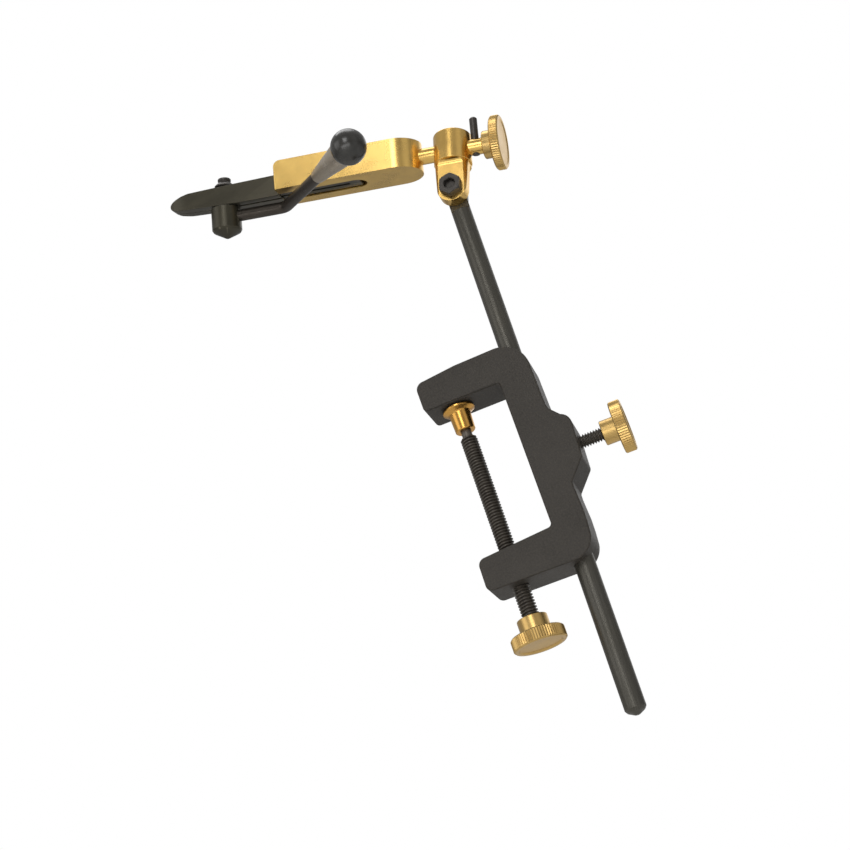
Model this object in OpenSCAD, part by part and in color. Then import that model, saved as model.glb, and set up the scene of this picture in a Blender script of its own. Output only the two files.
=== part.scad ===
// Fly tying vise: a C-clamp carries a sliding stem, a tilting knuckle and a
// rotary head whose spring jaws are opened by a cam lever.
// Millimetres, +Z up. Origin: flat underside of the clamp's upper arm, on the
// clamp screw's axis. -X points from the stem towards the jaws.

/* [Clamp] */
// Depth of the cast clamp frame along Y
clamp_t = 22; // [20:0.5:26]
// Gap between the two clamp arms next to the stem
throat_h = 72.6; // [65:0.1:80]
// Distance from the clamp screw's axis to the inner wall of the spine
throat_d = 23.2; // [22:0.1:24]
// Distance from the clamp screw's axis to the stem's axis
stem_x = 31.7; // [31:0.1:33]
// Height of the lock screw's axis below the clamp face
lock_drop = 37.6; // [35:0.1:40]
// Lean of the clamp screw in the frame, foot towards the stem
screw_lean = 1.15; // [0:0.05:1.5]

/* [Stem] */
// Diameter of the stem rod
stem_d = 9.5; // [9:0.05:9.8]
// Height of the tilt pivot above the clamp face
pivot_z = 107.8; // [90:0.1:120]
// Depth of the stem's lower end below the clamp face
stem_foot = 157; // [120:0.1:170]

/* [Knuckle] */
// Diameter of the round upper part of the knuckle
knuckle_d = 18.9; // [17.6:0.1:19]
// Height of the rotary shaft's axis above the tilt pivot
head_rise = 23.2; // [22.5:0.1:25]
// Diameter of the tilt bolt
bolt_d = 6; // [5:0.1:6.5]

/* [Rotary head] */
// Tilt of the head about the pivot bolt, jaws up
tilt = 14.6; // [0:0.1:45]
// Turn of the head about its own shaft
roll = 10; // [0:1:360]
// Diameter of the rotary shaft
shaft_d = 8; // [7:0.1:8.4]
// Width of the brass yoke
yoke_w = 25.4; // [24:0.1:28]
// Thickness of the brass yoke
yoke_t = 15; // [14.6:0.1:17]
// Width of the slot that holds the jaws
slot_w = 10.8; // [10.6:0.1:11.4]
// Distance from the knuckle's axis to the open end of the yoke
yoke_end = 90.6; // [87:0.1:94]

/* [Jaws and lever] */
// Width of the two jaws together
jaw_w = 11; // [9.8:0.1:11.6]
// Width of the jaws' tails, in the yoke's slot
tail_w = 9.5; // [9:0.1:9.6]
// Gap between the closed jaws
jaw_gap = 0.4; // [0.3:0.05:0.6]
// Distance from the knuckle's axis to the cam stud
cam_x = 122.3; // [118:0.1:126]
// Distance from the knuckle's axis to the jaws' tip
tip_x = 152.6; // [151:0.1:155]
// Diameter of the lever's ball end
ball_d = 16.9; // [15:0.1:18]
// Diameter of the lever rod
rod_d = 6; // [5:0.1:6]
// Angle between the lever's outer stretch and the jaws
lever_bend = 47.7; // [40:0.1:55]

/* [Screws and knobs] */
// Major diameter of the clamp screw's thread
screw_d = 7.9; // [7:0.1:8]
// Pitch of the clamp screw's thread
screw_pitch = 1.41; // [1.2:0.01:1.6]
// Major diameter of the lock screw's thread
lock_d = 6.2; // [5.6:0.1:6.3]
// Pitch of the lock screw's thread
lock_pitch = 1.27; // [1:0.01:1.4]
// Diameter of the clamp screw's knob
clamp_knob_d = 24.4; // [22:0.1:28]
// Diameter of the lock screw's knob
lock_knob_d = 24; // [20:0.1:26]
// Diameter of the rear knob
rear_knob_d = 26.8; // [22:0.1:30]

/* [Hidden] */
$fn = 64;

arm_top = 16.9;                       // thickness of the upper arm
arm_low = 18;                         // thickness of the lower arm
low_z = -throat_h - arm_low;          // underside of the lower arm
spine_out = stem_x + 7.8;             // outer wall of the spine
stem_r = stem_d / 2;
step_z = pivot_z - 12.6;              // foot of the stem's tang
lap = 0.15;                           // half the gap between the tang's face and the fork
kr = knuckle_d / 2;
shaft_r = shaft_d / 2;
rest_z = -0.6;                        // top of the clamp pad when closed
rod_z = -12.9;                        // height of the lever rod in the head
bend_x = -89.7;                       // where the lever rod bends
grip_a = 44.1;                        // start of the grip along the outer rod
ball_a = 82.0;                        // centre of the ball along the outer rod
jaw_mid = -1.7;                       // height of the jaws' centre line
knob_top = -105.8;                    // upper end of the clamp knob's hub
lock_hub = 58.4;                       // inner end of the lock knob's hub

// points of an arc in a plane, from angle a to angle b
function arc(c, r, a, b, n = 8) =
  [for (i = [0:n]) let (t = a + (b - a) * i / n) [c[0] + r * cos(t), c[1] + r * sin(t)]];

// one V groove after another down a screw: [radius, position] pairs
function thread(r, p, z0, z1) = let (n = floor(abs(z1 - z0) / p), s = (z1 - z0) / abs(z1 - z0))
  [for (i = [0:n - 1]) for (k = [0:2])
    [k == 1 ? r - 0.6 * p : r, z0 + s * p * (i + 0.06 + (k == 0 ? 0.02 : k == 1 ? 0.48 : 0.94))]];

module along_x() rotate([0, 90, 0]) children();
module along_y() rotate([-90, 0, 0]) children();
// a flat outline in X and Z, given depth along Y
module slab(y0, y1) translate([0, y1, 0]) rotate([90, 0, 0]) linear_extrude(y1 - y0) children();
// head frames: on the rotary shaft's axis, before and after its own turn
module in_knuckle() translate([stem_x, 0, pivot_z]) rotate([0, tilt, 0]) translate([0, 0, head_rise]) children();
module in_head() in_knuckle() rotate([roll, 0, 0]) children();

// frame on the clamp screw's own axis
module on_screw() rotate([0, -screw_lean, 0]) children();

// outline of the cast C frame, seen along Y
module c_outline() {
  si = throat_d; sb = throat_d + 1.3; lz = -throat_h; so = spine_out; ld = -lock_drop;
  polygon(concat(
    arc([si - 1.6, -1.6], 1.6, 90, 0, 4),
    arc([sb - 2, lz + 2], 2, 0, -88, 4),
    arc([-7.9, lz - 6], 3.5, 90, 180, 6),
    arc([-8.1, lz - 14.7], 3.2, 180, 268, 6),
    arc([so - 10.5, low_z + 10.5], 10.5, 270, 355, 10),
    [[so + 0.3, low_z + 15], [so + 0.4, low_z + 21], [so - 0.2, ld - 22],
     [so - 0.1, ld - 19.2]],
    arc([so + 5.2, ld - 8.8], 2.6, -46, 6, 4),
    [[so + 8.2, ld + 1], [so + 8.5, ld + 5.2]],
    arc([so + 3, ld + 7.4], 5.4, 5, 70, 5),
    [[so + 0.6, ld + 17.3], [so + 0.1, ld + 19.6]],
    arc([so - 14.2, 3.2], 13.7, 0, 90, 10),
    [[5.7, 16.5]],
    arc([-10.3, 10.9], 4, 86, 180, 6),
    arc([-11.8, 2.2], 2.2, 180, 270, 5)));
}

module clamp_frame() color([0.17, 0.16, 0.15]) difference() {
  slab(-10, clamp_t - 10) c_outline();
  // cast lip in front of the clamp face, set back from it
  translate([-20, -11, -1]) cube([20 + throat_d - 1.7, 2.3, 1.4]);
  // sliding bore for the stem
  translate([stem_x, 0, low_z - 5]) cylinder(r = stem_r + 0.06, h = 130);
  // bore for the clamp screw
  on_screw() translate([0, 0, low_z - 5]) cylinder(r = screw_d / 2 + 0.08, h = arm_low + 15);
  // bore for the lock screw, in to the stem
  translate([stem_x, 0, -lock_drop]) along_x() cylinder(r = lock_d / 2 + 0.08, h = 30);
}

module stem() color([0.12, 0.12, 0.12]) difference() {
  intersection() {
    translate([stem_x, 0, 0]) rotate_extrude() polygon([
      [0, -stem_foot - 2.3], [1.1, -stem_foot - 2.1], [stem_r - 0.9, -stem_foot - 0.6],
      [stem_r, -stem_foot + 0.7], [stem_r, pivot_z + stem_r], [0, pivot_z + stem_r]]);
    // rounded upper end about the pivot
    union() {
      translate([stem_x - 10, -10, -stem_foot - 5]) cube([20, 20, stem_foot + 5 + pivot_z]);
      translate([stem_x, -10, pivot_z]) along_y() cylinder(r = stem_r, h = 20);
    }
  }
  // tang for the knuckle's fork: flats in front and behind
  translate([stem_x - 10, -10, step_z + 1]) cube([20, 10 + lap, 40]);
  translate([stem_x - 10, 4.1, step_z + 4]) cube([20, 6, 40]);
  translate([stem_x, -10, pivot_z]) along_y() cylinder(r = bolt_d / 2 + 0.06, h = 20);
}

module pivot_bolt() color([0.1, 0.1, 0.1]) in_knuckle() translate([0, 0, -head_rise]) rotate([0, 3.4, 0]) difference() {
  union() {
    translate([0, -10.4, 0]) along_y() rotate([0, 0, 30]) cylinder(r = 5.77, h = 4, $fn = 6);
    translate([0, -7.6, 0]) along_y() cylinder(r = bolt_d / 2, h = 15.9);
  }
  translate([0, -11.2, 0]) along_y() rotate([0, 0, 30]) cylinder(r = 2.9, h = 3.4, $fn = 6);
}

module pivot_nut() color([0.1, 0.1, 0.1]) in_knuckle() translate([0, 4.4, -head_rise]) along_y() difference() {
  cylinder(r = 5.77, h = 3, $fn = 6);
  translate([0, 0, -1]) cylinder(r = bolt_d / 2 + 0.02, h = 5);
}

module knuckle() color([0.85, 0.66, 0.3]) in_knuckle() difference() {
  union() {
    rotate_extrude() polygon([[0, -8.1], [kr, -8.1], [kr, 7.3], [kr - 0.7, 8], [0, 8]]);
    // cheek: the bar's lower end, tapered and rounded round the pivot
    intersection() {
      translate([0, 0, -32]) cylinder(r = kr - 0.4, h = 28);
      slab(-kr, kr) union() {
        polygon([[-8.5, -5], [8.5, -5], [8.5, -9], [7.4, -head_rise], [-7.4, -head_rise], [-8.5, -9]]);
        translate([0, -head_rise]) circle(r = 7.4);
      }
    }
  }
  // front flat, with a round-cornered run-out
  translate([-12, -12, -40]) cube([24, 5.6, 29.3]);
  translate([-12, -9, -10.7]) along_x() cylinder(r = 2.6, h = 24);
  // lap behind the cheek for the stem's tang, with a round corner
  translate([-12, 2.275 - lap, -40]) cube([24, 20, 30.475]);
  translate([-12, -lap, -40]) cube([24, 4, 28.2]);
  translate([-12, 2.275 - lap, -11.8]) along_x() cylinder(r = 2.275, h = 24);
  // bores: rotary shaft, tilt bolt, tension screw
  translate([-12, 0, 0]) along_x() cylinder(r = shaft_r + 0.05, h = 24);
  translate([0, -12, -head_rise]) along_y() cylinder(r = bolt_d / 2 + 0.02, h = 24);
  along_y() cylinder(r = 2.52, h = 12);
}

module tension_screw() color([0.12, 0.12, 0.12]) in_knuckle() translate([0, 5.4, 0]) along_y() difference() {
  rotate_extrude() polygon(concat([[0, 0], [2.1, 0]], thread(2.5, 0.8, 0.1, 3.4), [[2.1, 3.5], [0, 3.5]]));
  translate([0, 0, 1.2]) cylinder(r = 1.45, h = 4, $fn = 6);
}

module tension_plug() color([0.9, 0.9, 0.85]) in_knuckle() translate([0, 3.7, 0]) along_y() cylinder(r = 2.3, h = 1.6);

module rotary_shaft() color([0.85, 0.66, 0.3]) in_head() difference() {
  along_x() rotate_extrude() polygon([
    [0, -29], [shaft_r - 0.4, -29], [shaft_r, -28.6], [shaft_r, -2.6], [shaft_r - 0.6, -2.6],
    [shaft_r - 0.6, 2.6], [shaft_r, 2.6], [shaft_r, 22.6], [shaft_r - 0.4, 23], [0, 23]]);
  translate([11.75, 0, -8]) cylinder(r = 1.97, h = 16);
}

module yoke() color([0.85, 0.66, 0.3]) in_head() {
  hw = yoke_w / 2; ht = yoke_t / 2;
  difference() {
    translate([0, 0, -ht]) linear_extrude(yoke_t) union() {
      translate([-yoke_end, -hw]) square([yoke_end - 16 - hw, yoke_w]);
      translate([-16 - hw, 0]) circle(r = hw, $fn = 96);
    }
    // rounded upper corners at the open end
    difference() {
      translate([-yoke_end - 1, -hw - 1, ht - 4]) cube([5, yoke_w + 2, 6]);
      translate([-yoke_end + 4, -hw - 2, ht - 4]) along_y() cylinder(r = 4, h = yoke_w + 4);
    }
    // slot for the jaws
    translate([-yoke_end - 5, -slot_w / 2, -ht - 1]) cube([yoke_end + 5 - 50.9, slot_w, yoke_t + 2]);
    translate([-50.9, 0, -ht - 1]) cylinder(r = slot_w / 2, h = yoke_t + 2);
    // blind bore for the rotary shaft
    translate([-29.2, 0, 0]) along_x() cylinder(r = shaft_r + 0.02, h = 20);
    // holes for the two jaw pins, blind from the far side
    for (x = [-56, -80]) translate([x, -9, jaw_mid]) along_y() cylinder(r = 1.52, h = 30);
  }
}

module rear_knob() color([0.82, 0.64, 0.3]) in_head() along_x() difference() {
  kd = rear_knob_d / 2;
  rotate_extrude($fn = 96) polygon([
    [0, 16], [6.4, 16], [6.9, 16.6], [6.9, 21.1], [kd - 0.6, 21.1], [kd, 21.7],
    [kd, 25.2], [kd - 0.7, 25.8], [kd - 2, 25.8], [kd - 2.6, 25.4], [0, 25.4]]);
  translate([0, 0, 13]) cylinder(r = shaft_r + 0.02, h = 10.2);
}

module turning_peg() color([0.1, 0.1, 0.1]) in_head() translate([11.75, 0, 0]) rotate_extrude($fn = 32)
  polygon([[0, -4.2], [1.95, -4.2], [1.95, 14.6], [1.2, 15.3], [0, 15.3]]);

module jaw_pins() color([0.85, 0.66, 0.3]) in_head() for (x = [-56, -80])
  translate([x, -8.9, jaw_mid]) along_y() cylinder(r = 1.5, h = 8.9 + yoke_w / 2);

// side profile of a jaw: shallow tail in the yoke, a bar in front of it, a pointed nose
module jaw_profile() {
  d = 152.6 - tip_x; sh = -yoke_end - 0.6;
  polygon([
    [-48.7, -6.8], [sh, -6.8], [sh, -7.8], [-112, -7.85], [-134 + d, -7.15], [-143.5 + d, -6.75], [-148.9 + d, -6],
    [-151 + d, -5], [-152.2 + d, -3.7], [-152.6 + d, -2.6], [-152.4 + d, -1.9], [-150.9 + d, -0.9], [-148.4 + d, 0.1],
    [-145.2 + d, 1.1], [-141 + d, 1.9], [-134 + d, 2.15], [-116, 2.65], [-94.5, 3.05], [-48.7, 3.45]]);
}

// plan outline of both jaws: tails, shoulders, then parallel to a pointed nose
module jaw_plan() {
  sh = -yoke_end - 0.6;
  polygon(concat(
    [[-40, tail_w / 2], [sh, tail_w / 2], [sh, jaw_w / 2]],
    [for (i = [0:8]) let (t = i * 90 / 8) [-140 - (tip_x - 139.8) * sin(t), 0.9 + (jaw_w / 2 - 0.9) * cos(t)]],
    [for (i = [8:-1:0]) let (t = i * 90 / 8) [-140 - (tip_x - 139.8) * sin(t), -0.9 - (jaw_w / 2 - 0.9) * cos(t)]],
    [[sh, -jaw_w / 2], [sh, -tail_w / 2], [-40, -tail_w / 2]]));
}

// s = -1 for the front jaw, 1 for the rear one
module jaw(s) color([0.16, 0.15, 0.13]) in_head() difference() {
  intersection() {
    slab(s > 0 ? jaw_gap / 2 : -jaw_w, s > 0 ? jaw_w : -jaw_gap / 2) jaw_profile();
    translate([0, 0, -12]) linear_extrude(24) jaw_plan();
  }
  // pocket for the cam stud
  for (dx = [-2.1, 2.1]) translate([-cam_x + dx, 0, -12]) cylinder(r = 2.5, h = 24);
  translate([-cam_x - 2.1, -2.5, -12]) cube([4.2, 5, 24]);
  // slit that lets the jaws spring
  translate([-114.5, -0.9, -12]) cube([60, 1.8, 24]);
  translate([-114.5, 0, -12]) cylinder(r = 0.9, h = 24);
  // clearance holes on the two jaw pins
  for (x = [-56, -80]) translate([x, -9, jaw_mid]) along_y() cylinder(r = 1.7, h = 18);
}
module jaw_front() jaw(-1);
module jaw_rear() jaw(1);

module cam_stud() color([0.14, 0.14, 0.14]) in_head() translate([-cam_x, 0, 0]) {
  // oval cam section between the jaws
  translate([0, 0, -8.1]) linear_extrude(11.3) union() {
    for (dx = [-1.9, 1.9]) translate([dx, 0]) circle(r = 2.2, $fn = 48);
    square([3.8, 4.4], center = true);
  }
  translate([0, 0, 3.1]) cylinder(r = 2.2, h = 4.1);
  translate([0, 0, -16]) cylinder(r = 3, h = 8);
}

module stud_cap() color([0.1, 0.1, 0.1]) in_head() translate([-cam_x, 0, 0]) difference() {
  rotate_extrude() polygon([[0, 3.35], [5, 3.35], [5.2, 3.6], [5.2, 4], [4.7, 4.5], [3.3, 5.8],
    [3.05, 6.3], [3.4, 6.7], [3.4, 7.7], [2.9, 8.2], [0, 8.2]]);
  translate([0, 0, 3]) cylinder(r = 2.22, h = 4.4);
}

module cam_boss() color([0.14, 0.14, 0.15]) in_head() translate([-cam_x, 0, 0]) difference() {
  rotate_extrude() polygon([[0, -24.1], [0.9, -24], [7, -20.6], [7.7, -19.6], [7.7, -8.6], [7.2, -8.1], [0, -8.1]]);
  translate([0, 0, -16.2]) cylinder(r = 3.02, h = 12);
  translate([0, 0, rod_z]) along_x() cylinder(r = rod_d / 2 + 0.02, h = 12);
}

// frame along the lever's outer stretch, +X outwards
module on_lever() in_head() translate([bend_x, 0, rod_z]) rotate([0, 0, -lever_bend]) children();

module lever_rod() color([0.14, 0.14, 0.15]) {
  rb = 7; tl = rb * tan(lever_bend / 2); rr = rod_d / 2;
  in_head() translate([-cam_x + 3.3, 0, rod_z]) along_x() cylinder(r = rr, h = bend_x - tl + cam_x - 3.2);
  // swept bend
  in_head() translate([bend_x - tl, -rb, rod_z]) rotate([0, 0, 90 - lever_bend])
    rotate_extrude(angle = lever_bend) translate([rb, 0]) circle(r = rr + 0.02, $fn = 48);
  on_lever() translate([tl - 0.1, 0, 0]) along_x() cylinder(r = rr, h = ball_a - 0.9 - tl);
}

module lever_grip() color([0.36, 0.34, 0.36]) on_lever() along_x() difference() {
  rotate_extrude() polygon([[0, grip_a], [3.15, grip_a], [3.5, grip_a + 0.4], [6.6, ball_a - 4.9], [6.6, ball_a - 4.6], [0, ball_a - 4.6]]);
  translate([0, 0, grip_a - 1]) cylinder(r = rod_d / 2 + 0.02, h = 50);
}

module lever_ball() color([0.06, 0.06, 0.06]) on_lever() difference() {
  translate([ball_a, 0, 0]) sphere(r = ball_d / 2);
  translate([ball_a - 4.6 - 10, -10, -10]) cube([10, 20, 20]);
  translate([ball_a - 12, 0, 0]) along_x() cylinder(r = rod_d / 2 + 0.02, h = 11.1);
}

module clamp_pad() color([0.85, 0.66, 0.3]) on_screw() difference() {
  rotate_extrude() polygon([[0, rest_z], [7.3, rest_z], [7.6, rest_z - 0.3], [7.6, rest_z - 1.1],
    [5.5, rest_z - 2.3], [5.1, rest_z - 2.9], [4.7, rest_z - 11.4], [4.3, rest_z - 11.8], [0, rest_z - 11.8]]);
  // swivel bore and the retainer's chamber
  translate([0, 0, rest_z - 13]) cylinder(r = 2.5, h = 9);
  translate([0, 0, rest_z - 5.6]) cylinder(r = 3.6, h = 3.2);
}

module pad_retainer() color([0.2, 0.2, 0.2]) on_screw() translate([0, 0, rest_z - 4.8]) difference() {
  cylinder(r = 3.3, h = 1);
  translate([0, 0, -1]) cylinder(r = 2.02, h = 3);
}

module clamp_screw() color([0.1, 0.1, 0.1]) on_screw() rotate_extrude() polygon(concat(
  [[0, rest_z - 2.7], [2.1, rest_z - 2.7], [2.45, rest_z - 3.1], [2.45, rest_z - 3.7], [2, rest_z - 3.7],
   [2, rest_z - 4.9], [2.45, rest_z - 4.9], [2.45, -15.8]],
  thread(screw_d / 2, screw_pitch, -15.8, knob_top),
  [[screw_d / 2, knob_top], [screw_d / 2, knob_top - 8.4], [0, knob_top - 8.4]]));

module clamp_knob() color([0.85, 0.66, 0.3]) on_screw() translate([0, 0, knob_top]) difference() {
  kd = clamp_knob_d / 2;
  rotate_extrude($fn = 96) polygon([
    [0, 0.6], [6.5, 0.6], [6.9, 0.2], [6.9, -6.4], [kd - 0.6, -6.4], [kd, -7], [kd, -11.6],
    [kd - 0.7, -12.3], [kd - 2.1, -12.3], [kd - 2.8, -11.6], [0, -11.4]]);
  translate([0, 0, -8.6]) cylinder(r = screw_d / 2 + 0.02, h = 12);
}

module lock_shoe() color([0.85, 0.66, 0.3]) translate([stem_x + stem_r + 0.3, 0, -lock_drop]) along_x() cylinder(r = 3, h = 2);

module lock_screw() color([0.1, 0.1, 0.1]) translate([0, 0, -lock_drop]) along_x() rotate_extrude() polygon(concat(
  [[0, 38.9], [lock_d / 2 - 0.8, 38.9]],
  thread(lock_d / 2, lock_pitch, 38.95, lock_hub),
  [[lock_d / 2, lock_hub], [lock_d / 2, lock_hub + 8.4], [0, lock_hub + 8.4]]));

module lock_knob() color([0.82, 0.64, 0.3]) translate([lock_hub, 0, -lock_drop]) along_x() difference() {
  kd = lock_knob_d / 2;
  rotate_extrude($fn = 96) polygon([
    [0, 0], [5.3, 0], [5.7, 0.5], [5.7, 6.6], [kd - 0.5, 6.6], [kd, 7.1], [kd, 11.5],
    [kd - 0.7, 12.1], [kd - 2, 12.1], [kd - 2.6, 11.6], [0, 11.5]]);
  translate([0, 0, -1]) cylinder(r = lock_d / 2 + 0.02, h = 9.6);
}

clamp_frame();
stem();
pivot_bolt();
pivot_nut();
knuckle();
tension_screw();
tension_plug();
rotary_shaft();
yoke();
rear_knob();
turning_peg();
jaw_pins();
jaw_front();
jaw_rear();
cam_stud();
stud_cap();
cam_boss();
lever_rod();
lever_grip();
lever_ball();
clamp_pad();
pad_retainer();
clamp_screw();
clamp_knob();
lock_shoe();
lock_screw();
lock_knob();
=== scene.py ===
import math

import bmesh
import bpy
from mathutils import Matrix, Vector


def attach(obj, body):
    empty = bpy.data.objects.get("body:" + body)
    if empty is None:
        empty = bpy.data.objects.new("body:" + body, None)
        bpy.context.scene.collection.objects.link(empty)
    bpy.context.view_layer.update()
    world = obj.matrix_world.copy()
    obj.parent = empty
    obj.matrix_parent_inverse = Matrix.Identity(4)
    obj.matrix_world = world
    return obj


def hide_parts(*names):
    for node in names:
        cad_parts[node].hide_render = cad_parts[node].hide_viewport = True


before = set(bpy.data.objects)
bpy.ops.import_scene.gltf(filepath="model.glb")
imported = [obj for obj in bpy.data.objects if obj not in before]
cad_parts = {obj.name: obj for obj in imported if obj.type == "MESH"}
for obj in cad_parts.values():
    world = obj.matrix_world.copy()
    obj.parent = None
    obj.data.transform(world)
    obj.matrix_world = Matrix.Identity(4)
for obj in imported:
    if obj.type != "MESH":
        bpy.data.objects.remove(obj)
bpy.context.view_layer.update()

scene = bpy.context.scene
MM = 0.001


# ---------------------------------------------------------------- frames
def T(x, y, z):
    return Matrix.Translation((x, y, z))


def R(deg, axis):
    return Matrix.Rotation(math.radians(deg), 4, axis)


I4 = Matrix.Identity(4)
ALONG_X = R(90, "Y")
ALONG_Y = R(-90, "X")
K = T(31.7, 0, 107.8) @ R(14.6, "Y") @ T(0, 0, 23.2)      # on the rotary shaft's axis
H = K @ R(10, "X")                                          # the same, after the head's own turn
CAM = H @ T(-122.3, 0, 0)
LEV = H @ T(-89.7, 0, -12.9) @ R(-47.7, "Z")                # the lever's outer stretch
PIV = T(31.7, 0, 107.8) @ R(14.6, "Y")                      # on the tilt bolt's axis


# ---------------------------------------------------------------- outlines
def arc(c, r, a, b, n=12):
    return [(c[0] + r * math.cos(math.radians(a + (b - a) * i / n)),
             c[1] + r * math.sin(math.radians(a + (b - a) * i / n))) for i in range(n + 1)]


def rounded(pts, closed=False, n=4):
    """Rounds the corners of a path: each point is (x, y) or (x, y, radius)."""
    out, m = [], len(pts)
    for i, p in enumerate(pts):
        if len(p) < 3 or p[2] <= 0 or (not closed and i in (0, m - 1)):
            out.append((p[0], p[1]))
            continue
        a, b, c = Vector(pts[i - 1][:2]), Vector(p[:2]), Vector(pts[(i + 1) % m][:2])
        u, v = (a - b).normalized(), (c - b).normalized()
        half = u.angle(v) / 2
        if half < 1e-3 or half > math.pi / 2 - 1e-3:
            out.append((p[0], p[1]))
            continue
        t = min(p[2] / math.tan(half), 0.49 * (a - b).length, 0.49 * (c - b).length)
        r = t * math.tan(half)
        centre = b + (u + v).normalized() * (r / math.sin(half))
        s, e = b + u * t - centre, b + v * t - centre
        turn = math.atan2(s.x * e.y - s.y * e.x, s.dot(e))
        for k in range(n + 1):
            ang = turn * k / n
            out.append((centre.x + s.x * math.cos(ang) - s.y * math.sin(ang),
                        centre.y + s.x * math.sin(ang) + s.y * math.cos(ang)))
    return out


def inset(pts, d):
    """The closed outline moved inwards by d; the outline runs anticlockwise."""
    out, m = [], len(pts)
    for i in range(m):
        a, b, c = Vector(pts[i - 1]), Vector(pts[i]), Vector(pts[(i + 1) % m])
        u, v = (b - a).normalized(), (c - b).normalized()
        n1, n2 = Vector((-u.y, u.x)), Vector((-v.y, v.x))
        k = (n1 + n2)
        k = k / max(0.3, k.dot(n1) * 1.0) if k.length > 1e-6 else n1
        out.append((b.x + k.x * d, b.y + k.y * d))
    return out


def clean(pts, tol=1e-3):
    out = []
    for p in pts:
        if not out or (Vector(p) - Vector(out[-1])).length > tol:
            out.append(p)
    if (Vector(out[0]) - Vector(out[-1])).length <= tol:
        out.pop()
    return out


def area(pts):
    return sum(pts[i - 1][0] * p[1] - p[0] * pts[i - 1][1] for i, p in enumerate(pts)) / 2


# ---------------------------------------------------------------- mesh builders
def new_bm():
    bm = bmesh.new()
    bm.loops.layers.uv.new("UVMap")
    return bm


def skin(bm, rings, uvs=None, close=True, cap=True):
    """Faces between rings of points, all with the same count; a ring of one point is a pole."""
    uv = bm.loops.layers.uv.verify()
    rows = [[bm.verts.new(p) for p in ring] for ring in rings]
    for j in range(len(rows) - 1):
        a, b = rows[j], rows[j + 1]
        m = max(len(a), len(b))
        for i in range(m if close else m - 1):
            k = (i + 1) % m
            q = [a[0], a[0]] if len(a) == 1 else [a[i], a[k]]
            w = [b[0], b[0]] if len(b) == 1 else [b[i], b[k]]
            loop = [q[0], q[1], w[1], w[0]]
            seen, face = [], []
            for t, vert in enumerate(loop):
                if vert not in seen:
                    seen.append(vert)
                    face.append(t)
            if len(seen) < 3:
                continue
            f = bm.faces.new(seen)
            if uvs:
                cell = [(i, j), (i + 1, j), (i + 1, j + 1), (i, j + 1)]
                for lp, t in zip(f.loops, face):
                    ii, jj = cell[t]
                    lp[uv].uv = (uvs[0][ii], uvs[1][jj])
    if cap:
        for row in (rows[0], rows[-1]):
            if len(row) > 2:
                bm.faces.new(row)
    return rows


def lathe(bm, prof, M=I4, n=96, rim=None):
    """A solid of revolution about local Z. prof holds (r, z). rim(angle) caps the radius, for a knurl."""
    rings, along, run = [], [], 0.0
    for j, (r, z) in enumerate(prof):
        if j:
            run += math.hypot(r - prof[j - 1][0], z - prof[j - 1][1])
        along.append(run)
        if r < 1e-4:
            rings.append([M @ Vector((0, 0, z))])
            continue
        ring = []
        for i in range(n):
            t = 2 * math.pi * i / n
            rr = min(r, rim(t)) if rim else r
            ring.append(M @ Vector((rr * math.cos(t), rr * math.sin(t), z)))
        rings.append(ring)
    around = [i / n * 10 for i in range(n + 1)]
    skin(bm, rings, (around, along))


def prism(bm, pts, lo, hi, M=I4, edge=0.0, n=4):
    """An outline in local X and Y, raised from lo to hi along Z, its two rims rounded to radius edge."""
    pts = clean(pts)
    if area(pts) < 0:
        pts = pts[::-1]
    if edge <= 0:
        layers = [(0, lo), (0, hi)]
    else:
        quarter = [(edge * (1 - math.sin(math.radians(90 * k / n))), edge * (1 - math.cos(math.radians(90 * k / n)))) for k in range(n + 1)]
        layers = [(d, lo + z) for d, z in quarter] + [(d, hi - z) for d, z in reversed(quarter)]
    run, along = 0.0, [0.0]
    for i in range(len(pts)):
        run += (Vector(pts[(i + 1) % len(pts)]) - Vector(pts[i])).length
        along.append(run)
    rings = []
    for d, z in layers:
        ring = inset(pts, d) if d > 0 else pts
        rings.append([M @ Vector((p[0], p[1], z)) for p in ring])
    skin(bm, rings, (along, [z for _, z in layers]))


def block(bm, lo, hi, M=I4):
    prism(bm, [(lo[0], lo[1]), (hi[0], lo[1]), (hi[0], hi[1]), (lo[0], hi[1])], lo[2], hi[2], M)


def rod(bm, r, z0, z1, M=I4, n=64):
    lathe(bm, [(0, z0), (r, z0), (r, z1), (0, z1)], M, n)


def tube_path(bm, path, r, n=40, normal=Vector((0, 0, 1)), M=I4):
    """A round bar along a flat path of (point, radius scale)."""
    rings, along, run = [], [], 0.0
    m = len(path)
    for j, (p, s) in enumerate(path):
        p = Vector(p)
        a, b = Vector(path[max(0, j - 1)][0]), Vector(path[min(m - 1, j + 1)][0])
        if j:
            run += (p - Vector(path[j - 1][0])).length
        along.append(run)
        t = (b - a).normalized()
        side = t.cross(normal).normalized()
        rings.append([M @ (p + (side * math.cos(2 * math.pi * i / n) + normal * math.sin(2 * math.pi * i / n)) * r * s) for i in range(n)])
    skin(bm, rings, ([i / n * 10 for i in range(n + 1)], along))


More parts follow.
